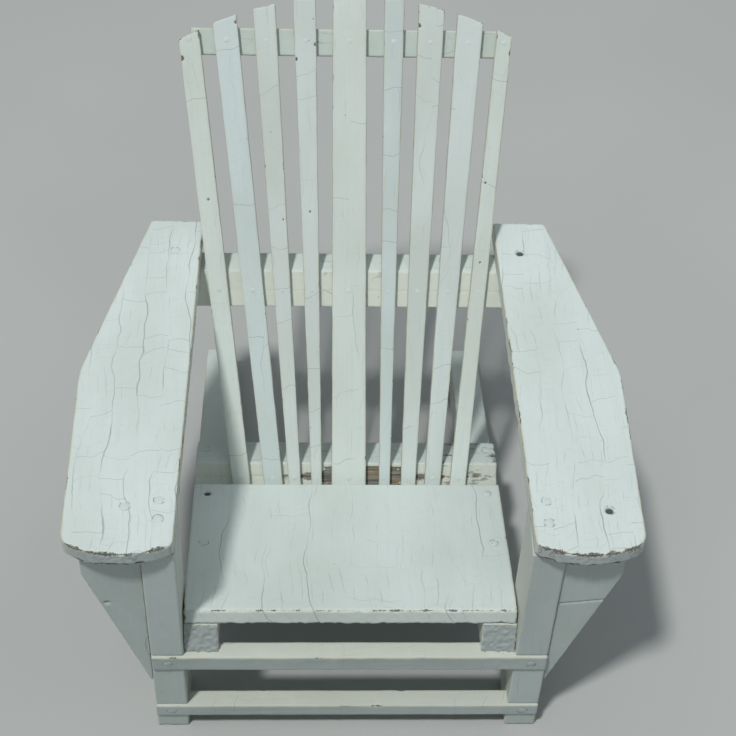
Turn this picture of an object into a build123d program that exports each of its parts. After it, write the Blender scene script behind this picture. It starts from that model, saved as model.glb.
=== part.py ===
"""Small nailed wooden Adirondack chair, sized for a doll or a shelf.

Frame: millimetres, +Z up, the chair faces -Y. Left and right are as seen
from the front, so left is -X.
The origin is on the floor under the centre of the chair's outline.
"""

import os
from math import cos, radians, sin, tan

from build123d import *

os.makedirs("parts", exist_ok=True)

# ---------------------------------------------------------------- dimensions
front_y = -142.9  # front faces of the front legs

leg_width = 18.0
leg_depth = 32.0
inner_width = 180.0  # between the front legs
arm_underside = 166.5

upper_stretcher_top = 73.0
upper_stretcher_height = 12.5
lower_stretcher_top = 23.0
lower_stretcher_height = 10.0
stretcher_depth = 11.0
stretcher_proud = 1.6  # how far the stretchers stand out of the legs

seat_slope = 15.5  # degrees down to the back
seat_thickness = 10.0
seat_length = 113.5
seat_side_gap = 0.3
seat_set_back = 10.0  # front edge of the seat behind the leg fronts

stringer_width = 18.8
stringer_depth = 20.0
stringer_length = 278.0

lower_rail_depth = 22.0
lower_rail_rise = 6.0  # above the top of the seat
lower_rail_position = 125.7  # its front top edge, along the seat
lower_rail_length = 179.0

back_recline = 36.4  # degrees back from the vertical
slat_thickness = 5.0
slat_foot = 20.0  # length below the front top edge of the lower rail
slat_reference = 240.0  # height along the back where the tops are measured
arch_height = 271.0
arch_radius = 200.0

arm_rail_height = 17.2
arm_rail_depth = 15.4
arm_rail_length = 214.0

upper_rail_low = 237.0
upper_rail_high = 252.5
upper_rail_thickness = 6.0
upper_rail_length = 176.0

arm_thickness = 10.0
arm_width_outside = 147.3  # centre plane to the outer edge
arm_front_overhang = 7.6
arm_rear = 232.5
arm_taper_start = 115.0
arm_rear_inside = 84.5
arm_rear_outside = 115.5

bracket_thickness = 28.0
bracket_set_back = 2.0
bracket_reach = 31.0
bracket_nose = 20.5
bracket_tip_height = 46.0

nail_radius = 1.0
nail_head_radius = 2.3
nail_head_thickness = 1.0
pin_radius = 0.7
pin_head_radius = 1.5
hole_clearance = 0.1
head_proud = 0.25

# centre and width of each slat at the lower rail, then at slat_reference
slats = {
    "slat_1": (-63.5, 11.0, -90.4, 12.5),
    "slat_2": (-44.5, 11.5, -69.5, 14.2),
    "slat_3": (-31.5, 8.0, -47.6, 12.7),
    "slat_4": (-18.2, 6.8, -25.8, 12.5),
    "slat_5": (1.0, 20.5, -1.1, 19.5),
    "slat_6": (22.3, 7.0, 23.6, 11.3),
    "slat_7": (36.6, 9.3, 44.0, 14.6),
    "slat_8": (51.3, 10.0, 65.4, 14.9),
    "slat_9": (66.6, 9.8, 85.2, 9.2),
}

# ---------------------------------------------------------------- work planes
leg_centre = inner_width / 2 + leg_width / 2
overall_width = inner_width + 2 * leg_width
seat_front_height = upper_stretcher_top + (seat_thickness + stringer_depth) * cos(
    radians(seat_slope)
)

# on top of the seat board: local y runs down the slope to the back
seat_plane = Plane(
    origin=(0, front_y + seat_set_back, seat_front_height),
    x_dir=(1, 0, 0),
    z_dir=(0, sin(radians(seat_slope)), cos(radians(seat_slope))),
)

slope_axis = Axis(origin=seat_plane.origin, direction=seat_plane.y_dir)

# on the back faces of the slats: local y runs up the slats, local z to the front
rail_corner = seat_plane.from_local_coords((0, lower_rail_position, lower_rail_rise))
back_plane = Plane(
    origin=rail_corner,
    x_dir=(1, 0, 0),
    z_dir=(0, -cos(radians(back_recline)), sin(radians(back_recline))),
)

# side view: local x runs to the back, local y up
side_plane = Plane(origin=(0, 0, 0), x_dir=(0, 1, 0), z_dir=(1, 0, 0))


def on_plane(plane, x, y, height=0.0):
    """Location on a plane, its own z axis pointing out of the plane."""
    return plane.location * Location((x, y, height))


def pointing(point, direction):
    """Location at a point, its z axis along a direction."""
    return Plane(origin=point, z_dir=direction).location


# ---------------------------------------------------------------- nail places
arm_top = arm_underside + arm_thickness
up = (0, 0, 1)
arm_nail_places = [
    pointing((-99, front_y + 15, arm_top), up),
    pointing((-99, front_y + 27, arm_top), up),
    pointing((-116, front_y + 23, arm_top), up),
    pointing((-100, front_y + 207, arm_top), up),
    pointing((98.5, front_y + 13, arm_top), up),
    pointing((98.5, front_y + 27, arm_top), up),
    pointing((130, front_y + 21, arm_top), up),
    pointing((99, front_y + 207, arm_top), up),
]
seat_nail_places = [
    on_plane(seat_plane, x, y) for x in (-81.5, 81.5) for y in (58.0, 104.0)
]
rail_nail_places = [
    on_plane(seat_plane, x, 140.0, lower_rail_rise) for x in (-84.0, 84.0)
]
stretcher_nail_places = [
    pointing((x, front_y - stretcher_proud, z), (0, -1, 0))
    for x in (-leg_centre, leg_centre)
    for z in (
        upper_stretcher_top - upper_stretcher_height / 2,
        lower_stretcher_top - lower_stretcher_height / 2,
    )
]
stringer_inside = inner_width / 2 - stringer_width
stringer_nail_places = [
    pointing((side * stringer_inside, front_y + y, z), (-side, 0, 0))
    for side in (-1, 1)
    for y, z in ((15.0, 81.0), (25.0, 77.0))
]
bracket_edge_run = bracket_reach - 1.5
bracket_edge_drop = arm_underside - bracket_nose - bracket_tip_height


def bracket_edge_place(side, height):
    """Place on the slanted outer edge of an arm bracket."""
    share = (height - bracket_tip_height) / bracket_edge_drop
    x = overall_width / 2 + 1.5 + bracket_edge_run * share
    y = front_y + bracket_set_back + 20
    outward = (side * bracket_edge_drop, 0, -bracket_edge_run)
    return pointing((side * x, y, height), outward)


bracket_nail_places = [
    bracket_edge_place(side, height) for side in (-1, 1) for height in (85, 115)
]


def slat_centre(name, height):
    """Centre line of a slat at a height along the back."""
    low, _, high, _ = slats[name]
    return low + (high - low) * height / slat_reference


def slat_pin_places(name):
    """Pins of one slat: into the lower rail, the arm rail and the upper rail."""
    return [
        on_plane(back_plane, slat_centre(name, height), height, slat_thickness)
        for height in (-8.0, 104.0, 246.0)
    ]


def drill(places, length, radius=nail_radius, head=nail_head_radius):
    """Holes that take nails driven in at the given places."""
    with Locations(*places):
        CounterBoreHole(
            radius=radius + hole_clearance,
            counter_bore_radius=head + hole_clearance,
            counter_bore_depth=nail_head_thickness,
            depth=length + hole_clearance,
        )


def drive(places, length, radius=nail_radius, head=nail_head_radius):
    """Nails with a round head just proud of the wood and a pointed end."""
    point = 2 * radius
    down = (Align.CENTER, Align.CENTER, Align.MAX)
    with Locations(*places):
        with Locations((0, 0, head_proud)):
            Cylinder(head, nail_head_thickness, align=down)
            Cylinder(radius, length - point, align=down)
        with Locations((0, 0, head_proud - length + point)):
            Cone(radius * 0.15, radius, point, align=down)


def save(part, name):
    """Label a finished piece and write it out."""
    part.label = name
    export_step(part, "parts/" + name + ".step")


# ---------------------------------------------------------------- stretchers
def stretcher(top, height):
    """Flat board let into the front legs, level with their outer faces."""
    with BuildPart() as board:
        with BuildSketch(Plane.XY.offset(top - height)):
            with Locations((0, front_y - stretcher_proud)):
                Rectangle(
                    overall_width,
                    stretcher_depth,
                    align=(Align.CENTER, Align.MIN),
                )
        extrude(amount=height)
        front_edges = board.faces().sort_by(Axis.Y)[0].edges()
        fillet(front_edges, radius=0.6)
        drill(stretcher_nail_places, 22)
    return board.part


save(stretcher(upper_stretcher_top, upper_stretcher_height), "upper_stretcher")
save(stretcher(lower_stretcher_top, lower_stretcher_height), "lower_stretcher")


# ---------------------------------------------------------------- front legs
def front_leg(side):
    """Upright with two notches for the stretchers."""
    notch_depth = stretcher_depth - stretcher_proud
    with BuildPart() as leg:
        with BuildSketch():
            with Locations((side * leg_centre, front_y)):
                Rectangle(leg_width, leg_depth, align=(Align.CENTER, Align.MIN))
        extrude(amount=arm_underside)
        fillet(leg.edges().filter_by(Axis.Z), radius=0.8)
        for top, height in (
            (upper_stretcher_top, upper_stretcher_height),
            (lower_stretcher_top, lower_stretcher_height),
        ):
            with BuildSketch(Plane.XY.offset(top - height)):
                with Locations((side * leg_centre, front_y)):
                    Rectangle(leg_width, 2 * notch_depth)
            extrude(amount=height, mode=Mode.SUBTRACT)
        drill(stretcher_nail_places, 22)
        drill(stringer_nail_places, 25)
        drill(arm_nail_places, 20)
        drill(bracket_nail_places, 30)
    return leg.part


save(front_leg(-1), "left_front_leg")
save(front_leg(1), "right_front_leg")


# ---------------------------------------------------------------- stringers
def stringer(side):
    """Sloping side member that carries the seat and is the back foot."""
    underside = -seat_thickness - stringer_depth
    with BuildPart() as member:
        with BuildSketch(seat_plane.offset(underside)):
            with Locations((side * (inner_width - stringer_width) / 2, 0)):
                Rectangle(
                    stringer_width,
                    stringer_length,
                    align=(Align.CENTER, Align.MIN),
                )
        extrude(amount=stringer_depth)
        fillet(member.edges().filter_by(slope_axis), radius=0.7)
        # flat heel where the end meets the floor
        with BuildSketch(Plane.XY):
            Rectangle(4 * overall_width, 4 * overall_width)
        extrude(amount=-20, mode=Mode.SUBTRACT)
        # seat cut over the upper stretcher
        with BuildSketch(Plane.XY.offset(upper_stretcher_top)):
            with Locations((0, front_y - stretcher_proud)):
                Rectangle(
                    overall_width,
                    stretcher_depth,
                    align=(Align.CENTER, Align.MIN),
                )
        extrude(amount=-upper_stretcher_height, mode=Mode.SUBTRACT)
        drill(seat_nail_places, 25)
        drill(rail_nail_places, 30)
        drill(stringer_nail_places, 25)
    return member.part


save(stringer(-1), "left_stringer")
save(stringer(1), "right_stringer")


# ---------------------------------------------------------------- seat
with BuildPart() as seat_board:
    with BuildSketch(seat_plane):
        Rectangle(
            inner_width - 2 * seat_side_gap,
            seat_length,
            align=(Align.CENTER, Align.MIN),
        )
    extrude(amount=-seat_thickness)
    fillet(seat_board.faces().sort_by(Axis.Y)[0].edges(), radius=1.0)
    drill(seat_nail_places, 25)

save(seat_board.part, "seat_board")


# ---------------------------------------------------------------- back rails
seat_to_back = radians(back_recline - seat_slope)
rail_thickness = seat_thickness + lower_rail_rise
rail_foot = lower_rail_position - rail_thickness * tan(seat_to_back)
rail_rear = lower_rail_position + lower_rail_depth
all_pin_places = [place for name in slats for place in slat_pin_places(name)]
across_seat = Plane(
    origin=seat_plane.origin, x_dir=seat_plane.y_dir, z_dir=(1, 0, 0)
)

with BuildPart() as lower_back_rail:
    with BuildSketch(across_seat.offset(-lower_rail_length / 2)):
        with BuildLine():
            Polyline(
                (rail_foot, -seat_thickness),
                (rail_rear, -seat_thickness),
                (rail_rear, lower_rail_rise),
                (lower_rail_position, lower_rail_rise),
                close=True,
            )
        make_face()
    extrude(amount=lower_rail_length)
    top_edges = lower_back_rail.edges().filter_by(Axis.X).sort_by(Axis.Z)[-2:]
    fillet(top_edges, radius=0.8)
    drill(rail_nail_places, 30)
    drill(all_pin_places, 10.5, pin_radius, pin_head_radius)

save(lower_back_rail.part, "lower_back_rail")

# lath behind the slats, planed level on top so that the arms rest on it
lean = tan(radians(back_recline))
arm_rail_front = rail_corner.Y + (arm_underside - rail_corner.Z) * lean
arm_rail_shift = arm_rail_height * lean

with BuildPart() as arm_rail:
    with BuildSketch(side_plane.offset(-arm_rail_length / 2)):
        with BuildLine():
            Polyline(
                (arm_rail_front, arm_underside),
                (arm_rail_front + arm_rail_depth, arm_underside),
                (
                    arm_rail_front + arm_rail_depth - arm_rail_shift,
                    arm_underside - arm_rail_height,
                ),
                (arm_rail_front - arm_rail_shift, arm_underside - arm_rail_height),
                close=True,
            )
        make_face()
    extrude(amount=arm_rail_length)
    drill(arm_nail_places, 20)
    drill(all_pin_places, 10.5, pin_radius, pin_head_radius)

save(arm_rail.part, "arm_rail")

with BuildPart() as upper_back_rail:
    with BuildSketch(back_plane):
        with Locations((-3, (upper_rail_low + upper_rail_high) / 2)):
            Rectangle(upper_rail_length, upper_rail_high - upper_rail_low)
    extrude(amount=-upper_rail_thickness)
    long_edges = upper_back_rail.edges().filter_by(Axis.X)
    fillet(long_edges, radius=0.6)
    drill(all_pin_places, 10.5, pin_radius, pin_head_radius)

save(upper_back_rail.part, "upper_back_rail")


# ---------------------------------------------------------------- back slats
def back_slat(name):
    """Tapered slat, its top cut to the arch of the whole back."""
    low, low_width, high, high_width = slats[name]

    def corner(side, height):
        share = height / slat_reference
        centre = low + (high - low) * share
        width = low_width + (high_width - low_width) * share
        return (centre + side * width / 2, height)

    with BuildPart() as slat:
        with BuildSketch(back_plane):
            with BuildLine():
                Polyline(
                    corner(-1, -slat_foot),
                    corner(1, -slat_foot),
                    corner(1, arch_height + 10),
                    corner(-1, arch_height + 10),
                    close=True,
                )
            make_face()
            with Locations((0, arch_height - arch_radius)):
                Circle(arch_radius, mode=Mode.INTERSECT)
        extrude(amount=slat_thickness)
        front_face = slat.faces().sort_by(SortBy.AREA)[-2:].sort_by(Axis.Y)[0]
        long_edges = front_face.edges().sort_by(SortBy.LENGTH)[-2:]
        fillet(long_edges, radius=0.5)
        drill(slat_pin_places(name), 10.5, pin_radius, pin_head_radius)
    return slat.part


for slat_name in slats:
    save(back_slat(slat_name), slat_name)


# ---------------------------------------------------------------- arms
def arm(side):
    """Broad flat arm, bowed at the front and tapering behind the slats."""
    inner_front = (inner_width / 2 + 0.5, front_y - 1)
    outer_front = (arm_width_outside, front_y)
    outer_bend = (arm_width_outside, front_y + arm_taper_start)
    outer_rear = (arm_rear_outside, front_y + arm_rear)
    inner_rear = (arm_rear_inside, front_y + arm_rear)
    front_middle = (118, front_y - arm_front_overhang)
    with BuildPart() as board:
        with BuildSketch(Plane.XY.offset(arm_underside)) as outline:
            with BuildLine():
                ThreePointArc(inner_front, front_middle, outer_front)
                Polyline(outer_front, outer_bend, outer_rear, inner_rear, inner_front)
            make_face()
            for point, radius in (
                (inner_front, 5),
                (outer_front, 12),
                (outer_bend, 40),
                (outer_rear, 3),
                (inner_rear, 2),
            ):
                nearest = outline.vertices().sort_by_distance((*point, 0))[0]
                fillet(nearest, radius=radius)
        extrude(amount=arm_thickness)
        top_edges = board.faces().sort_by(Axis.Z)[-1].edges()
        fillet(top_edges, radius=1.2)
        if side < 0:
            mirror(about=Plane.YZ, mode=Mode.REPLACE)
        drill(arm_nail_places, 20)
    return board.part


save(arm(-1), "left_arm")
save(arm(1), "right_arm")


# ---------------------------------------------------------------- brackets
def arm_bracket(side):
    """Tapered gusset on the outer side of a front leg, under the arm."""
    inside = overall_width / 2
    nose_height = arm_underside - bracket_nose
    front = Plane.XZ.offset(-front_y - bracket_set_back)
    with BuildPart() as bracket:
        with BuildSketch(front) as outline:
            with BuildLine():
                Polyline(
                    (inside, arm_underside),
                    (inside + bracket_reach, arm_underside),
                    (inside + bracket_reach, nose_height),
                    (inside + 1.5, bracket_tip_height),
                    (inside, bracket_tip_height),
                    close=True,
                )
            make_face()
            nose = outline.vertices().sort_by_distance(
                (inside + bracket_reach, nose_height, 0)
            )[0]
            fillet(nose, radius=10)
        extrude(amount=-bracket_thickness)
        if side < 0:
            mirror(about=Plane.YZ, mode=Mode.REPLACE)
        drill(arm_nail_places, 20)
        drill(bracket_nail_places, 30)
    return bracket.part


save(arm_bracket(-1), "left_arm_bracket")
save(arm_bracket(1), "right_arm_bracket")


# ---------------------------------------------------------------- nails
with BuildPart() as arm_nails:
    drive(arm_nail_places, 20)
save(arm_nails.part, "arm_nails")

with BuildPart() as seat_nails:
    drive(seat_nail_places, 25)
save(seat_nails.part, "seat_nails")

with BuildPart() as rail_nails:
    drive(rail_nail_places, 30)
save(rail_nails.part, "rail_nails")

with BuildPart() as stretcher_nails:
    drive(stretcher_nail_places, 22)
save(stretcher_nails.part, "stretcher_nails")

with BuildPart() as stringer_nails:
    drive(stringer_nail_places, 25)
save(stringer_nails.part, "stringer_nails")

with BuildPart() as bracket_nails:
    drive(bracket_nail_places, 30)
save(bracket_nails.part, "bracket_nails")

with BuildPart() as slat_pins:
    drive(all_pin_places, 10.5, pin_radius, pin_head_radius)
save(slat_pins.part, "slat_pins")
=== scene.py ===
"""Looks of the small nailed Adirondack chair: worn boards under crackled white paint."""
from math import cos, radians, sin
import bmesh
import bpy
import numpy as np
from mathutils import Matrix, Vector


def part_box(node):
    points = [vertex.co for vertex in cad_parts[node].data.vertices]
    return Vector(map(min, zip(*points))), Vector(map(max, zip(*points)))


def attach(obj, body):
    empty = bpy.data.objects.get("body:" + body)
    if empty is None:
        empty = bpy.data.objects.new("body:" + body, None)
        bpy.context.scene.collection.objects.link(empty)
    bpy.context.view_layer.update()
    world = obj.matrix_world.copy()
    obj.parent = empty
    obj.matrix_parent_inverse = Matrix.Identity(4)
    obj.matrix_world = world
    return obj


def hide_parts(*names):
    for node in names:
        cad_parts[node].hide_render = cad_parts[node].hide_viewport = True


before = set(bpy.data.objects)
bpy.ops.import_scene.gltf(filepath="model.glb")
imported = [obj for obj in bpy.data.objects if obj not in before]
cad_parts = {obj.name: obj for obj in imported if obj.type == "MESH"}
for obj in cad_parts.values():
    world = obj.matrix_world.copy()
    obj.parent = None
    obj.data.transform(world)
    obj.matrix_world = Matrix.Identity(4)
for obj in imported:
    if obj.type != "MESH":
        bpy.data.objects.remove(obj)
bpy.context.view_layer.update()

scene = bpy.context.scene
collection = scene.collection

# ------------------------------------------------------------------ camera, fitted to the photo
PITCH, YAW, ROLL = radians(48.25), radians(-3.3), radians(2.77)
EYE = (-0.02751, -0.6570, 0.88487)


def add(name, data):
    ob = bpy.data.objects.new(name, data)
    collection.objects.link(ob)
    return ob


camera = add("photo_camera", bpy.data.cameras.new("photo_camera"))
camera.data.sensor_width = 36.0
camera.data.lens = 85.5
camera.matrix_world = (Matrix.Translation(EYE) @ Matrix.Rotation(YAW, 4, "Z")
                       @ Matrix.Rotation(radians(90) - PITCH, 4, "X")
                       @ Matrix.Rotation(ROLL, 4, "Z"))
scene.camera = camera

# ------------------------------------------------------------------ light and floor
scene.view_settings.view_transform = "Standard"
world = bpy.data.worlds.new("studio")
scene.world = world
world.use_nodes = True
world.node_tree.nodes["Background"].inputs["Color"].default_value = (0.86, 0.95, 0.97, 1)
world.node_tree.nodes["Background"].inputs["Strength"].default_value = 0.17

key = add("key_light", bpy.data.lights.new("key_light", "SUN"))
key.data.energy = 1.98
key.data.angle = radians(5)
key.data.color = (1.0, 0.985, 0.955)
key.matrix_world = Vector((0.27, 0.33, -1.0)).to_track_quat("-Z", "Y").to_matrix().to_4x4()

panel = add("overhead_panel", bpy.data.lights.new("overhead_panel", "AREA"))
panel.data.size = 2.0
panel.data.energy = 11.0
panel.data.color = (0.90, 0.97, 1.0)
panel.location = (0, 0, 2.0)

floor_mesh = bpy.data.meshes.new("floor")
floor_mesh.from_pydata([(-4, -4, 0), (4, -4, 0), (4, 4, 0), (-4, 4, 0)], [], [(0, 1, 2, 3)])
floor = add("floor", floor_mesh)


# ------------------------------------------------------------------ noise on arrays
def lattice(i, j, k, seed):
    """Repeatable random number from 0 to 1 for each corner of a grid."""
    h = (i.astype(np.int64) * 374761393 + j.astype(np.int64) * 668265263
         + k.astype(np.int64) * 2147483647 + seed * 974634777) & 0xFFFFFFFF
    h = ((h ^ (h >> 13)) * 1274126177) & 0xFFFFFFFF
    h = ((h ^ (h >> 16)) * 2246822519) & 0xFFFFFFFF
    return ((h ^ (h >> 15)) & 0xFFFFFF) / float(0xFFFFFF)


def noise(p, seed):
    """Smooth noise from -1 to 1 at the points p."""
    base = np.floor(p)
    f = p - base
    f = f * f * (3 - 2 * f)
    i, j, k = base[:, 0], base[:, 1], base[:, 2]
    total = np.zeros(len(p))
    for a in (0, 1):
        for b in (0, 1):
            for c in (0, 1):
                weight = (np.abs(1 - a - f[:, 0]) * np.abs(1 - b - f[:, 1])
                          * np.abs(1 - c - f[:, 2]))
                total += weight * lattice(i + a, j + b, k + c, seed)
    return total * 2 - 1


def fractal(p, seed, octaves):
    """Noise on several scales together, from -1 to 1."""
    total, size, top = np.zeros(len(p)), 1.0, 0.0
    for octave in range(octaves):
        total += size * noise(p * 2.03 ** octave, seed + 17 * octave)
        top += size
        size *= 0.5
    return total / top


def smooth(low, high, x):
    """0 at low, 1 at high and a smooth step between; low may be the larger."""
    t = np.clip((x - low) / (high - low), 0, 1)
    return t * t * (3 - 2 * t)


# ------------------------------------------------------------------ node trees
class Net:
    """Short names for building a node tree."""

    def __init__(self, name):
        self.material = bpy.data.materials.new(name)
        self.material.use_nodes = True
        self.tree = self.material.node_tree
        self.shader = self.tree.nodes["Principled BSDF"]

    def put(self, socket, value):
        """Links an output to the socket, or sets the socket's own value."""
        if isinstance(value, bpy.types.NodeSocket):
            self.tree.links.new(value, socket)
        else:
            socket.default_value = value

    def node(self, kind, **settings):
        n = self.tree.nodes.new(kind)
        for setting, value in settings.items():
            setattr(n, setting, value)
        return n

    def math(self, operation, a, b=0.0, c=0.0, clamp=False):
        n = self.node("ShaderNodeMath", operation=operation, use_clamp=clamp)
        for socket, value in zip(n.inputs, (a, b, c)):
            self.put(socket, value)
        return n.outputs[0]

    def add(self, a, b, clamp=False):
        return self.math("ADD", a, b, clamp=clamp)

    def sub(self, a, b):
        return self.math("SUBTRACT", a, b)

    def mul(self, a, b):
        return self.math("MULTIPLY", a, b)

    def vector(self, operation, a, b=(0, 0, 0)):
        n = self.node("ShaderNodeVectorMath", operation=operation)
        self.put(n.inputs[0], a)
        self.put(n.inputs[1], b)
        return n.outputs[0]

    def noise(self, p, size, detail=2.0, rough=0.5):
        """Noise whose features are size across; size is one number or three."""
        if not isinstance(size, tuple):
            size = (size, size, size)
        p = self.vector("DIVIDE", p, size)
        n = self.node("ShaderNodeTexNoise")
        self.put(n.inputs["Vector"], p)
        n.inputs["Scale"].default_value = 1.0
        n.inputs["Detail"].default_value = detail
        n.inputs["Roughness"].default_value = rough
        return n.outputs["Fac"]

    def step(self, x, low, high, out_low=0.0, out_high=1.0):
        """out_low below low, out_high above high and a smooth step between."""
        n = self.node("ShaderNodeMapRange", interpolation_type="SMOOTHSTEP")
        for socket, value in zip(n.inputs, (x, low, high, out_low, out_high)):
            self.put(socket, value)
        return n.outputs[0]

    def swing(self, noise_out, reach):
        """Noise moved to swing either side of zero."""
        return self.mul(self.sub(noise_out, 0.5), reach)

    def mix(self, fac, a, b):
        n = self.node("ShaderNodeMix", data_type="RGBA", blend_type="MIX")
        for index, value in ((0, fac), (6, a), (7, b)):
            if isinstance(value, tuple) and len(value) == 3:
                value = (*value, 1.0)
            self.put(n.inputs[index], value)
        return n.outputs[2]

    def attribute(self, name):
        return self.node("ShaderNodeAttribute", attribute_name=name).outputs["Fac"]


def crack_net(net, x, y, gap, cross_gap, phase, share=0.6, cross_share=0.6, wide=1.0):
    """Strength from 0 to 1 of a net of cracks, and the distance in mm to the nearest. Long
    lines run along y, about gap apart, with short straight ones across between them. share
    is how much of it has opened."""
    lane = net.add(net.math("DIVIDE", x, gap), phase)
    line = net.math("ROUND", lane)
    away = net.mul(net.math("ABSOLUTE", net.sub(lane, line)), gap)
    where = net.node("ShaderNodeCombineXYZ")
    net.put(where.inputs[0], net.mul(line, 7.31))
    net.put(where.inputs[1], net.math("DIVIDE", y, 3.2 * gap))
    opening = net.noise(where.outputs[0], 1.0, 1.5)
    strong = net.step(opening, 0.62 - 0.3 * share, 0.82 - 0.3 * share)
    width = net.add(net.mul(strong, 0.16 * wide), 0.05 * wide)
    long_line = net.mul(net.step(away, width, net.add(width, 0.16), 1.0, 0.0), strong)

    row = net.math("FLOOR", lane)
    row_random = net.node("ShaderNodeTexWhiteNoise", noise_dimensions="1D")
    net.put(row_random.inputs["W"], row)
    row_random = row_random.outputs["Value"]
    tilt = net.mul(net.sub(row_random, 0.5), net.mul(net.math("FRACT", lane), 0.5))
    cell = net.add(net.math("DIVIDE", y, cross_gap), net.add(tilt, net.mul(row_random, 9.0)))
    rung = net.math("ROUND", cell)
    pair = net.node("ShaderNodeCombineXYZ")
    net.put(pair.inputs[0], row)
    net.put(pair.inputs[1], rung)
    rung_random = net.node("ShaderNodeTexWhiteNoise", noise_dimensions="2D")
    net.put(rung_random.inputs["Vector"], pair.outputs[0])
    rung_random = rung_random.outputs["Value"]
    shift = net.mul(net.sub(rung_random, 0.5), 0.6)
    cross = net.mul(net.math("ABSOLUTE", net.sub(net.sub(cell, rung), shift)), cross_gap)
    opened = net.math("FRACT", net.mul(rung_random, 37.7))
    hard = net.step(opened, 1.0 - cross_share, 1.3 - cross_share, 0.0, 0.8)
    cross_line = net.mul(net.step(cross, 0.07 * wide, 0.10 + 0.14 * wide, 1.0, 0.0), hard)
    return net.math("MAXIMUM", long_line, cross_line), net.math("MINIMUM", away, cross)


HEAD_RIM = 2.3  # a nail head's rim in the "nail" attribute, whatever its real radius
CHIP_FADE = 0.42  # how fast chips give out, per mm from the edge
PAINT_THICKNESS = 0.00020
STREAK, BLOTCH, CREAM = (0.56, 0.62, 0.61), (0.62, 0.65, 0.58), (0.66, 0.67, 0.58)
# the first colour on the next line is painted shade for faces turned to the front, with some real
# end-grain dirt
END_SHADE_AND_DIRT, YELLOW, RUBBED = (0.36, 0.41, 0.41), (0.56, 0.53, 0.38), (0.26, 0.23, 0.16)
# the last colour on the next line is the painted shade inside nail holes
SPECK, CRACK, NAIL_HOLE_SHADE = (0.16, 0.16, 0.13), (0.16, 0.18, 0.18), (0.035, 0.038, 0.035)
WOOD_DARK, WOOD_LIGHT, WOOD_BROWN = (0.085, 0.088, 0.08), (0.34, 0.34, 0.30), (0.27, 0.17, 0.085)
# painted shadow along the broken paint edge round each chip
CHIP_RIM_SHADOW = (0.12, 0.12, 0.105)


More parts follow.
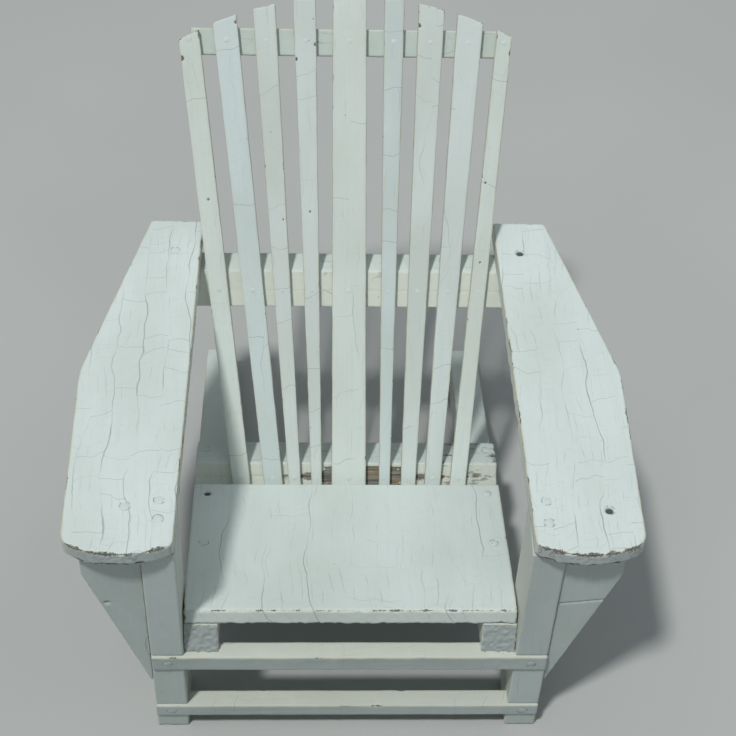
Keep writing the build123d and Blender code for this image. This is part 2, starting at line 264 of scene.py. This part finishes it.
def paint_material(name, offset, gap=12.0, cross_gap=11.0, share=0.6, cross_share=0.6, dark=0.62,
                   fine=0.35, fine_gap=4.5, tint=(0.0, 0.0, 0.0), peel=0.0, brown=0.35,
                   edge_wear=0.5, wobble=1.0):
    """Old white paint: cracks along and across the grain, chips down to grey wood. Sizes are
    in mm, offset moves the pattern, and the rest are strengths from 0 to 1."""
    net = Net(name)
    coord = net.node("ShaderNodeTexCoord").outputs["Object"]
    p = net.vector("ADD", net.vector("MULTIPLY", coord, (1000, 1000, 1000)), offset)
    split = net.node("ShaderNodeSeparateXYZ")
    net.put(split.inputs[0], p)
    x, y, z = split.outputs

    # the cracks follow lines bent by slow noise
    sway = net.swing(net.noise(p, (34, 48, 34), 2.0), 26.0 * wobble)
    shake = net.swing(net.noise(p, (7, 9, 7), 2.0), 3.4 * wobble)
    drift = net.swing(net.noise(p, (17, 34, 17), 2.0), 15.0)
    side = net.add(net.add(x, net.mul(z, 0.6)), net.add(sway, shake))
    along = net.add(y, net.add(drift, net.mul(shake, 0.5)))
    big, big_away = crack_net(net, side, along, gap, cross_gap, 0.37, share, cross_share)
    small, _ = crack_net(net, side, along, fine_gap, fine_gap * 1.9, 0.11, 0.65, 0.7, 0.45)
    fine_zone = net.add(net.step(net.noise(p, 24.0, 2.0), 0.38, 0.62, 0.15, 1.0),
                        net.attribute("craze"), clamp=True)
    small = net.mul(net.mul(small, fine_zone), fine)
    crack = net.math("MAXIMUM", net.mul(big, dark), small)

    # a ring has cracked round each nail head
    ring_away = net.math("ABSOLUTE", net.sub(net.attribute("nail"), 2.75))
    ring = net.mul(net.step(ring_away, 0.10, 0.36, 1.0, 0.0),
                   net.step(net.noise(p, 2.6, 1.0), 0.44, 0.62, 0.0, 0.7))
    # painted shade: near black in the holes of the deep nails and in the crevice under each head's
    # rim
    hole_shade = net.step(net.attribute("nail"), 1.7, HEAD_RIM, 0.93, 0.0)
    crack = net.math("MAXIMUM", crack, ring)

    # chips down to the wood along the edges, with a ragged outline and a thin painted shadow under
    # the paint's broken edge
    edge = net.attribute("edge")
    ragged = net.swing(net.noise(p, (1.1, 1.5, 1.1), 3.0, 0.7), 1.5)
    chip = net.sub(net.add(net.attribute("chip"), ragged), net.mul(edge, CHIP_FADE))
    bare = net.step(chip, 0.60, 0.68)
    rim = net.mul(net.step(chip, 0.48, 0.61), net.sub(1.0, bare))
    if peel:
        flake = net.add(net.noise(p, (4.5, 13, 4.5), 4.0, 0.6),
                        net.math("MULTIPLY_ADD", net.attribute("craze"), 0.3, peel - 0.3))
        bare = net.math("MAXIMUM", bare, net.step(flake, 0.60, 0.66))
        rim = net.math("MAXIMUM", rim, net.mul(net.step(flake, 0.57, 0.61), net.sub(1.0, bare)))

    # paint colour
    broad = net.noise(p, (45, 90, 45), 3.0)
    streak = net.noise(p, (1.9, 46, 1.9), 3.0, 0.6)
    blotch = net.noise(p, 8.0, 3.0, 0.6)
    clean = (0.655 + tint[0], 0.735 + tint[1], 0.725 + tint[2])
    dull = (0.595 + tint[0], 0.665 + tint[1], 0.640 + tint[2])
    colour = net.mix(net.step(broad, 0.35, 0.7), clean, dull)
    colour = net.mix(net.step(streak, 0.45, 0.8, 0.0, 0.35), colour, STREAK)
    colour = net.mix(net.step(blotch, 0.50, 0.8, 0.0, 0.30), colour, BLOTCH)
    colour = net.mix(net.mul(net.attribute("side"), 0.55), colour, CREAM)
    # painted shade on the faces turned to the front, with some real dirt on the rough end grain
    colour = net.mix(net.attribute("shade_and_dirt"), colour, END_SHADE_AND_DIRT)
    # the paint is yellow and thin on the edges, and rubbed through in places
    yellow = net.mul(net.step(edge, 0.3, 1.9, 1.0, 0.0),
                     net.step(net.noise(p, (6, 16, 6), 2.0), 0.32, 0.60, 0.0, edge_wear))
    colour = net.mix(yellow, colour, YELLOW)
    rub = net.mul(net.step(edge, 0.10, 0.55, 1.0, 0.0),
                  net.step(net.noise(p, (2.4, 5, 2.4), 3.0, 0.6), 0.46, 0.64, 0.0, edge_wear))
    colour = net.mix(rub, colour, RUBBED)
    speck = net.node("ShaderNodeTexVoronoi")
    net.put(speck.inputs["Vector"], net.vector("DIVIDE", p, (13.0, 13.0, 13.0)))
    speck.inputs["Scale"].default_value = 1.0
    specks = net.mul(net.step(speck.outputs["Distance"], 0.015, 0.05, 1.0, 0.0),
                     net.step(net.noise(p, 11.0), 0.5, 0.6))
    colour = net.mix(net.mul(specks, 0.6), colour, SPECK)
    colour = net.mix(crack, colour, CRACK)
    # painted shade in the nail holes
    colour = net.mix(hole_shade, colour, NAIL_HOLE_SHADE)

    # bare weathered wood
    grain = net.noise(p, (0.7, 22, 0.7), 4.0, 0.65)
    warm = net.noise(p, (8, 16, 8), 2.0)
    wood = net.mix(net.step(grain, 0.35, 0.68), WOOD_DARK, WOOD_LIGHT)
    wood = net.mix(net.step(warm, 0.45, 0.65, 0.0, brown), wood, WOOD_BROWN)
    colour = net.mix(bare, colour, wood)
    # painted shadow of the paint's raised edge round each chip
    colour = net.mix(net.mul(rim, 0.5), colour, CHIP_RIM_SHADOW)

    # relief
    brush = net.noise(p, (0.55, 18, 0.55), 2.0)
    lumps = net.noise(p, 2.0, 3.0, 0.6)
    height = net.sub(1.0, net.mul(bare, net.add(0.85, net.mul(grain, -0.5))))
    height = net.sub(height, crack)
    lip = net.mul(net.step(big_away, 0.15, 1.5, 0.5, 0.0), big)
    height = net.add(height, lip)
    height = net.add(height, net.mul(brush, 0.30))
    height = net.add(height, net.mul(lumps, 0.40))
    bump = net.node("ShaderNodeBump")
    bump.inputs["Strength"].default_value = 1.0
    bump.inputs["Distance"].default_value = PAINT_THICKNESS
    net.put(bump.inputs["Height"], height)

    rough = net.add(net.mul(bare, 0.3), net.step(blotch, 0.3, 0.7, 0.50, 0.66), clamp=True)
    net.put(net.shader.inputs["Base Color"], colour)
    net.put(net.shader.inputs["Normal"], bump.outputs["Normal"])
    net.put(net.shader.inputs["Roughness"], rough)
    net.shader.inputs["Specular IOR Level"].default_value = 0.3
    return net.material


# ------------------------------------------------------------------ boards
def cad_points(node):
    """Corners of a CAD node in metres."""
    mesh = bpy.data.objects[node].data
    points = np.empty(len(mesh.vertices) * 3)
    mesh.vertices.foreach_get("co", points)
    return points.reshape(-1, 3)


def hull_2d(points):
    """Corners of the outline round flat points, in order."""
    points = sorted(set(map(tuple, np.round(points, 6))))

    def turns_left(a, b, c):
        return (b[0] - a[0]) * (c[1] - a[1]) - (b[1] - a[1]) * (c[0] - a[0]) > 1e-10

    def half(run):
        chain = []
        for q in run:
            while len(chain) > 1 and not turns_left(chain[-2], chain[-1], q):
                chain.pop()
            chain.append(q)
        return chain[:-1]

    return np.array(half(points) + half(points[::-1]))


def edge_distance(p, outline, flat, axis, low, high):
    """Distance in mm from each surface point to the nearest sharp edge of a prism."""
    caps = np.minimum(np.abs(p[:, axis] - low), np.abs(high - p[:, axis]))
    q = p[:, flat]
    nxt = np.roll(outline, -1, axis=0)
    lengths = np.hypot(*(nxt - outline).T)
    wall = np.full(len(p), 1e9)
    lines = []
    for a, b, length in zip(outline, nxt, lengths):
        d = (b - a) / max(length, 1e-9)
        rel = q - a
        t = np.clip(rel @ d, 0, length)
        gap = np.hypot(*(rel - t[:, None] * d).T)
        wall = np.minimum(wall, gap)
        if length > 0.12 * lengths.max() and length > 4.0:
            lines.append(gap)
    result = np.maximum(caps, wall)
    if len(lines) > 1:
        result = np.minimum(result, np.sort(np.array(lines), axis=0)[1])
    return result


def only_vertices(elements):
    return [e for e in elements if isinstance(e, bmesh.types.BMVert)]


def solid_from_points(points):
    """Closed mesh round a convex board's corners."""
    bm = bmesh.new()
    for q in points:
        bm.verts.new(q)
    made = bmesh.ops.convex_hull(bm, input=bm.verts)
    unused = set(only_vertices(made["geom_interior"] + made["geom_unused"]))
    bmesh.ops.delete(bm, geom=list(unused), context="VERTS")
    mesh = bpy.data.meshes.new("board")
    bm.to_mesh(mesh)
    bm.free()
    return mesh


def remeshed(mesh, voxel):
    """The mesh rebuilt in even small faces, its edges a little soft."""
    ob = add("remesh", mesh)
    modifier = ob.modifiers.new("remesh", "REMESH")
    modifier.mode = "VOXEL"
    modifier.voxel_size = voxel
    graph = bpy.context.evaluated_depsgraph_get()
    result = bpy.data.meshes.new_from_object(ob.evaluated_get(graph))
    bpy.data.objects.remove(ob)
    return result


def wear(mesh, outline, flat, axis, low, high, seed, heads, chips, front, craze, end_rough,
         end_shade_and_dirt, wavy, worn, cream_axis, zone, spots, scores, ends_worn):
    """Moves the surface inward in local mm (soft edges, chips, waves, rough ends, nail dents)
    and stores what the paint needs: distance to the edge and to a nail, chips, crazing.
    start and stop are the distances from a board's two ends. spots are (x, start, radius),
    scores (x, start, x, start, radius, depth), zone (y, length) and heads (centre, radius,
    how deep it is sunk)."""
    count = len(mesh.vertices)
    p = np.empty(count * 3)
    mesh.vertices.foreach_get("co", p)
    p = p.reshape(-1, 3)
    n = np.empty(count * 3)
    mesh.vertices.foreach_get("normal", n)
    n = n.reshape(-1, 3)
    edge = edge_distance(p, outline, flat, axis, low, high)
    start = p[:, 1] - p[:, 1].min()
    stop = p[:, 1].max() - p[:, 1]
    facing = n[:, 2] > 0.6

    # waves, and edges worn soft
    push = 0.10 * fractal(p / (14, 60, 14), seed, 2) + 0.04 * fractal(p / 4.0, seed + 3, 2) - 0.12
    side = smooth(0.65, 0.25, np.abs(n[:, 2]))
    push -= wavy * side * np.abs(fractal(p / (9, 13, 40), seed + 4, 2)) * 2
    soft = np.clip(1 - edge / (0.9 + 0.5 * noise(p / (5, 12, 5), seed + 5)), 0, 1)
    push -= worn * soft ** 2 * (0.9 + 0.8 * noise(p / (3, 6, 3), seed + 6))

    # where the paint has chipped off
    chip = fractal(p / (4.5, 6, 4.5), seed + 9, 3) + 0.25 * noise(p / (16, 24, 16), seed + 11)
    chip += chips
    chip += front * smooth(10, 4, start)
    if zone:
        low_down = smooth(-1.2, -2.6, p[:, 2] - p[:, 2].max())
        chip += 2.9 * np.exp(-((p[:, 1] - zone[0]) / zone[1]) ** 2) * low_down
    chip += ends_worn * smooth(12, 3, stop)
    for x, h, radius in spots:
        gap = np.hypot(p[:, 0] - x, start - h)
        chip += 1.9 * np.exp(-(gap / radius) ** 2) * facing
        edge = np.where(gap < 2 * radius, np.minimum(edge, 1.8), edge)
    for x0, h0, x1, h1, radius, depth in scores:
        line = np.array((x1 - x0, h1 - h0))
        t = ((p[:, 0] - x0) * line[0] + (start - h0) * line[1]) / max(line @ line, 1e-6)
        t = np.clip(t, 0, 1)
        gap = np.hypot(p[:, 0] - x0 - t * line[0], start - h0 - t * line[1])
        push -= depth * smooth(radius, 0.4 * radius, gap) * facing
    push -= 0.40 * smooth(0.55, 0.75, chip - CHIP_FADE * edge)

    # broken front edge, rough end grain
    broken = np.clip(0.55 + 1.5 * fractal(p / 2.4, seed + 13, 2), 0, 2)
    push -= 1.25 * front * smooth(1.7, 0.2, edge) * smooth(9, 3, start) * broken
    ends = smooth(1.6, 0.5, np.minimum(start, stop))
    push += end_rough * ends * (0.34 * fractal(p / 1.9, seed + 21, 2) - 0.10)

    # dents at the nails
    away = np.full(count, 50.0)
    for centre, radius, sunk in heads:
        near = np.linalg.norm(p - centre, axis=1) * HEAD_RIM / radius
        away = np.minimum(away, near)
        push -= sunk * smooth(2.5, 1.5, near)
    push += 0.08 * np.exp(-((away - 3.4) / 0.9) ** 2) - 0.08 * smooth(3.0, 2.2, away)
    p += n * np.minimum(push, 0.0)[:, None]
    mesh.vertices.foreach_set("co", p.ravel())

    # a negative craze crazes the far end instead of the near one
    crazing = craze * smooth(60, 15, start) if craze >= 0 else -craze * smooth(48, 30, stop)
    cream = smooth(0.55, 0.85, np.abs(n[:, cream_axis]))
    # painted shade on the faces turned to the front, such as the arms' and stringers' front ends,
    # with some real dirt on the rough end grain
    shade_and_dirt = end_shade_and_dirt * smooth(0.45, 0.8, -n[:, 1])
    for name, values in (("edge", edge), ("chip", chip), ("craze", crazing), ("nail", away),
                         ("side", cream), ("shade_and_dirt", shade_and_dirt)):
        layer = mesh.attributes.new(name, "FLOAT", "POINT")
        layer.data.foreach_set("value", values.astype(np.float32))


def islands(node):
    """World points in mm of each separate solid of a node."""
    mesh = bpy.data.objects[node].data
    points = cad_points(node) * 1000
    places = [tuple(q) for q in np.round(points, 2)]
    first = {}
    for i, place in enumerate(places):
        first.setdefault(place, i)
    parent = [first[place] for place in places]

    def root(i):
        while parent[i] != i:
            parent[i] = parent[parent[i]]
            i = parent[i]
        return i

    for e in mesh.edges:
        parent[root(e.vertices[0])] = root(e.vertices[1])
    groups = {}
    for i in range(len(points)):
        groups.setdefault(root(i), []).append(points[i])
    return [np.array(g) for g in groups.values()]


def nail_shape(points):
    """Top of the head, the way it points, its radius and the nail's length."""
    middle = points.mean(axis=0)
    axis = np.linalg.svd(points - middle)[2][0]
    place = (points - middle) @ axis
    spread = np.linalg.norm(points - middle - place[:, None] * axis, axis=1)
    if spread[place > place.max() - 0.3].max() < spread[place < place.min() + 0.3].max():
        axis, place = -axis, -place
    head = points[place > place.max() - 0.3].mean(axis=0)
    return head, axis, spread.max(), place.max() - place.min()


NAILS = ("arm_nails", "seat_nails", "rail_nails", "stretcher_nails", "stringer_nails",
         "bracket_nails")
NAIL_SHAPES = {node: [nail_shape(g) for g in islands(node)] for node in NAILS + ("slat_pins",)}


def sunk_depth(node, head):
    """Five nails were driven in deep and show as dark holes, painted near black as shade."""
    x, y, z = head
    deep = ((node == "arm_nails" and (x > 120 or (x > 0 and y > 0)))
            or (node == "seat_nails" and x < 0 and y > -50)
            or (node == "bracket_nails" and x < 0))
    return 2.0 if deep else 0.0


HEADS = [(head, radius, sunk_depth(node, head)) for node in NAILS
         for head, axis, radius, length in NAIL_SHAPES[node]]
boards_made = []


def board(node, turn, prism="z", body=None, voxel=0.7, chips=0.0, front=0.0, craze=0.0,
          end_rough=1.0, end_shade_and_dirt=0.0, wavy=0.1, worn=0.25, cream_axis=0, zone=None, spots=(),
          scores=(), ends_worn=0.0, **look):
    """One worn board in place of a CAD node. turn holds the local axes (across, along the
    grain, out of the face) as columns, so the paint's cracks follow each board's grain.
    The board's outline is constant along the prism axis. look goes to paint_material."""
    boards_made.append(node)
    seed = 100 + 37 * len(boards_made)
    turn = np.array(turn, dtype=float)
    local = cad_points(node) * 1000 @ turn
    middle = (local.min(axis=0) + local.max(axis=0)) / 2
    local = local - middle
    mesh = solid_from_points(local) if body is None else body(turn, middle)
    mesh = remeshed(mesh, voxel * (1.0))
    axis = "xyz".index(prism)
    flat = [i for i in range(3) if i != axis]
    heads = [(head @ turn - middle, radius, sunk) for head, radius, sunk in HEADS]
    wear(mesh, hull_2d(local[:, flat]), flat, axis, local[:, axis].min(), local[:, axis].max(),
         seed, heads, chips, front, craze, end_rough, end_shade_and_dirt, wavy, worn, cream_axis, zone,
         spots, scores, ends_worn)
    mesh.transform(Matrix.Scale(0.001, 4))
    mesh.update()
    mesh.polygons.foreach_set("use_smooth", [True] * len(mesh.polygons))
    ob = add(node + "_worn", mesh)
    place = Matrix([list(turn[i]) + [0] for i in range(3)] + [[0, 0, 0, 1]])
    ob.matrix_world = Matrix.Translation(turn @ middle / 1000) @ place
    offset = tuple(float(v) for v in np.random.default_rng(seed).uniform(-400, 400, 3))
    mesh.materials.append(paint_material(node + "_paint", offset, **look))
    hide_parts(node)
    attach(ob, "root")


def columns(across, along, out):
    return np.array([across, along, out], dtype=float).T


SEAT = radians(15.5)
BACK = radians(36.4)
LEVEL = columns((1, 0, 0), (0, 1, 0), (0, 0, 1))
ON_SEAT = columns((1, 0, 0), (0, cos(SEAT), -sin(SEAT)), (0, sin(SEAT), cos(SEAT)))
CROSSWISE = columns((0, -1, 0), (1, 0, 0), (0, 0, 1))
UPRIGHT = columns((1, 0, 0), (0, 0, 1), (0, -1, 0))
ON_RAIL = columns((0, -cos(SEAT), sin(SEAT)), (1, 0, 0), (0, sin(SEAT), cos(SEAT)))
ON_BACK = columns((0, -sin(BACK), -cos(BACK)), (1, 0, 0), (0, -cos(BACK), sin(BACK)))


def along_slat(node):
    """Local axes of a slat: its lean to the side is read from its ends."""
    up = np.array((0, sin(BACK), cos(BACK)))
    out = np.array((0, -cos(BACK), sin(BACK)))
    points = cad_points(node)
    height = points @ up
    top = points[height > height.max() - 0.03][:, 0].mean()
    foot = points[height < height.min() + 0.03][:, 0].mean()
    rise = (height.max() - 0.015) - (height.min() + 0.015)
    along = np.array((top - foot, 0, 0)) + up * rise
    along /= np.linalg.norm(along)
    return columns(np.cross(along, out), along, out)


def leg_body(node):
    """Upright with the notches that the stretchers lie in."""
    def make(turn, middle):
        low, high = (Vector(c) * 1000 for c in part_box(node))
        corners = [(low.y, 0), (high.y, 0), (high.y, high.z), (low.y, high.z)]
        for rail in ("upper_stretcher", "lower_stretcher"):
            a, b = (Vector(c) * 1000 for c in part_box(rail))
            corners += [(low.y, b.z), (b.y, b.z), (b.y, a.z), (low.y, a.z)]
        bm = bmesh.new()
        ring = [bm.verts.new(Vector(np.array((low.x, y, z)) @ turn - middle)) for y, z in corners]
        face = bm.faces.new(ring)
        grown = bmesh.ops.extrude_face_region(bm, geom=[face])
        step = Vector(np.array((high.x - low.x, 0, 0)) @ turn)
        bmesh.ops.translate(bm, vec=step, verts=only_vertices(grown["geom"]))
        bmesh.ops.recalc_face_normals(bm, faces=bm.faces)
        bmesh.ops.triangulate(bm, faces=bm.faces)
        mesh = bpy.data.meshes.new("leg")
        bm.to_mesh(mesh)
        bm.free()
        return mesh
    return make


# colour changes against the arms' clean paint
SEAT_TINT = (-0.025, -0.03, -0.035)
DULL = (-0.12, -0.12, -0.11)
GREY = (-0.20, -0.21, -0.20)
RAIL_TINT = (-0.05, -0.05, -0.05)
SLAT_TINTS = ((-0.01, -0.02, -0.02), (0.01, 0.0, -0.02), (-0.04, -0.03, -0.02),
              (-0.01, -0.025, -0.03))
# marks seen in the photo: a dimple and a groove in the brackets, dark spots on the slats
SCORES = {"left": ((-4.2, 74.8, -4.2, 74.8, 2.1, 1.1),),
          "right": ((-14.5, 74.0, 9.0, 77.7, 1.0, 0.6),)}
SPOTS = {1: ((0.3, 178, 1.3), (-4.5, 258, 2.0)),
         2: ((6.0, 277, 1.0),),
         3: ((3.1, 165.6, 1.2),),
         4: ((-5.3, 256, 1.3), (5.4, 264, 1.1), (4.5, 278, 1.0), (0.2, 170, 0.8)),
         7: ((-6.6, 275, 1.3),),
         9: ((-2.5, 188, 1.1), (-0.7, 142, 1.0), (4.0, 262, 2.0))}

board("left_arm", LEVEL, voxel=0.6, chips=0.40, front=0.80, worn=0.4, craze=0.8, wavy=0.6,
      end_shade_and_dirt=0.6, gap=13, cross_gap=13, share=0.72, cross_share=0.5, dark=0.52, fine=0.22,
      edge_wear=0.8, brown=0.15, wobble=0.6)
board("right_arm", LEVEL, voxel=0.6, chips=0.47, front=0.80, worn=0.4, craze=0.6, wavy=0.5,
      end_shade_and_dirt=0.6, gap=14, cross_gap=15, share=0.6, cross_share=0.45, dark=0.55, fine=0.26,
      edge_wear=0.8, brown=0.3, wobble=0.6)
board("seat_board", ON_SEAT, voxel=0.75, chips=0.12, front=0.60, end_rough=0.3, craze=0.7,
      gap=24, cross_gap=24, share=0.62, cross_share=0.2, dark=0.55, fine=0.30, fine_gap=6,
      tint=SEAT_TINT, brown=0.2, wobble=0.6)
for side in ("left", "right"):
    board(side + "_front_leg", UPRIGHT, body=leg_body(side + "_front_leg"), chips=0.0,
          share=0.15, cross_share=0.1, fine=0.12, tint=DULL, edge_wear=0.15)
    board(side + "_arm_bracket", UPRIGHT, chips=0.0, scores=SCORES[side], gap=22, share=0.2,
          cross_share=0.1, fine=0.12, tint=DULL, edge_wear=0.2)
    board(side + "_stringer", ON_SEAT, chips=0.05, end_rough=2.2, end_shade_and_dirt=0.9, share=0.25,
          cross_share=0.2, fine=0.15)
for node in ("upper_stretcher", "lower_stretcher"):
    board(node, CROSSWISE, chips=0.18, wavy=0.2, cream_axis=2, share=0.2, cross_share=0.25,
          fine=0.15, tint=GREY)
board("lower_back_rail", ON_RAIL, prism="y", chips=0.2, craze=-1.0, zone=(8, 36), share=0.3,
      cross_share=0.2, peel=0.04, brown=0.8, edge_wear=0.2, tint=RAIL_TINT)
board("arm_rail", CROSSWISE, prism="y", chips=0.0, share=0.3, cross_share=0.2, edge_wear=0.1,
      tint=(-0.02, -0.02, -0.04))
board("upper_back_rail", ON_BACK, voxel=0.6, chips=0.0, share=0.2, cross_share=0.2,
      tint=(-0.10, -0.10, -0.12))
for number in range(1, 10):
    node = "slat_%d" % number
    board(node, along_slat(node), voxel=0.6, chips=0.10, worn=0.2, wavy=0.2,
          spots=SPOTS.get(number, ()), ends_worn=0.55 if number in (1, 9) else 0.2, gap=30,
          cross_gap=22, share=0.22, cross_share=0.5, dark=0.6, fine=0.2, fine_gap=7,
          edge_wear=0.35, brown=0.6, tint=SLAT_TINTS[number % 4])


# ------------------------------------------------------------------ nails
SIDES = 28
# from the head's top to the point, as shares of the head's radius and mm along the nail;
# the last two steps are placed by the nail's own length
HEAD_PROFILE = [(0.30, 0.0), (0.62, -0.03), (0.85, -0.10), (0.97, -0.22), (1.0, -0.42),
                (0.95, -0.75), (0.42, -1.0)]


def nails(node, roughness, sink=0.0, **look):
    """Hammered nails, each a domed head with an uneven rim on a pointed shank."""
    rng = np.random.default_rng(len(node))
    points, faces, shade = [], [], []
    for head, axis, radius, length in NAIL_SHAPES[node]:
        sunk = sunk_depth(node, head)
        head = head - axis * (sink + 0.9 * sunk)
        length -= sink + 0.9 * sunk
        u = np.cross(axis, (0.31, 0.52, 0.79))
        u /= np.linalg.norm(u)
        v = np.cross(axis, u)
        profile = HEAD_PROFILE + [(0.40, 3.0 - length), (0.05, -length)]
        first = len(points)
        # a deep nail's head gets the near-black painted shade of its hole
        shade += [0.0 if sunk else 50.0] * (1 + SIDES * len(profile))
        lean = rng.uniform(0, 6.28)
        points.append(head)
        for share, drop in profile:
            for k in range(SIDES):
                a = 6.2832 * k / SIDES
                uneven = 0.05 * sin(2 * a + lean) + rng.uniform(-0.03, 0.03)
                r = radius * share * (1 + roughness * uneven * (share > 0.6))
                d = drop - (roughness * 0.05 * (1 + cos(a + lean)) if drop > -0.5 else 0)
                points.append(head + axis * d + (u * cos(a) + v * sin(a)) * r)
        for k in range(SIDES):
            after = (k + 1) % SIDES
            faces.append((first, first + 1 + k, first + 1 + after))
            for ring in range(len(profile) - 1):
                a, b = first + 1 + ring * SIDES + k, first + 1 + ring * SIDES + after
                faces.append((a, a + SIDES, b + SIDES, b))
        last = first + 1 + (len(profile) - 1) * SIDES
        faces.append(tuple(last + k for k in range(SIDES))[::-1])
    mesh = bpy.data.meshes.new(node)
    mesh.from_pydata([q / 1000 for q in points], [], faces)
    bm = bmesh.new()
    bm.from_mesh(mesh)
    bmesh.ops.recalc_face_normals(bm, faces=bm.faces)
    bm.to_mesh(mesh)
    bm.free()
    mesh.polygons.foreach_set("use_smooth", [True] * len(mesh.polygons))
    for name, value in (("edge", 9.0), ("chip", -9.0), ("craze", 0.0), ("side", 0.0), ("shade_and_dirt", 0.0)):
        layer = mesh.attributes.new(name, "FLOAT", "POINT")
        layer.data.foreach_set("value", [value] * len(points))
    mesh.attributes.new("nail", "FLOAT", "POINT").data.foreach_set("value", shade)
    ob = add(node + "_hammered", mesh)
    mesh.materials.append(paint_material(node + "_paint", (31, 57, 73), share=0.1,
                                         cross_share=0.1, fine=0.1, **look))
    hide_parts(node)
    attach(ob, "root")


CLEAN = (0, 0, 0)
for node, tint in zip(NAILS, (CLEAN, SEAT_TINT, RAIL_TINT, GREY, CLEAN, DULL)):
    nails(node, 1.0, sink=0.18, tint=tint)
nails("slat_pins", 0.6, sink=0.23, tint=(-0.02, -0.01, -0.01))

# ------------------------------------------------------------------ floor finish
net = Net("floor")
coord = net.node("ShaderNodeTexCoord").outputs["Object"]
cloud = net.step(net.noise(coord, 0.35, 2.0), 0.3, 0.7)
grey = net.mix(cloud, (0.42, 0.435, 0.435), (0.45, 0.465, 0.462))
net.put(net.shader.inputs["Base Color"], grey)
net.shader.inputs["Roughness"].default_value = 0.8
floor_mesh.materials.append(net.material)
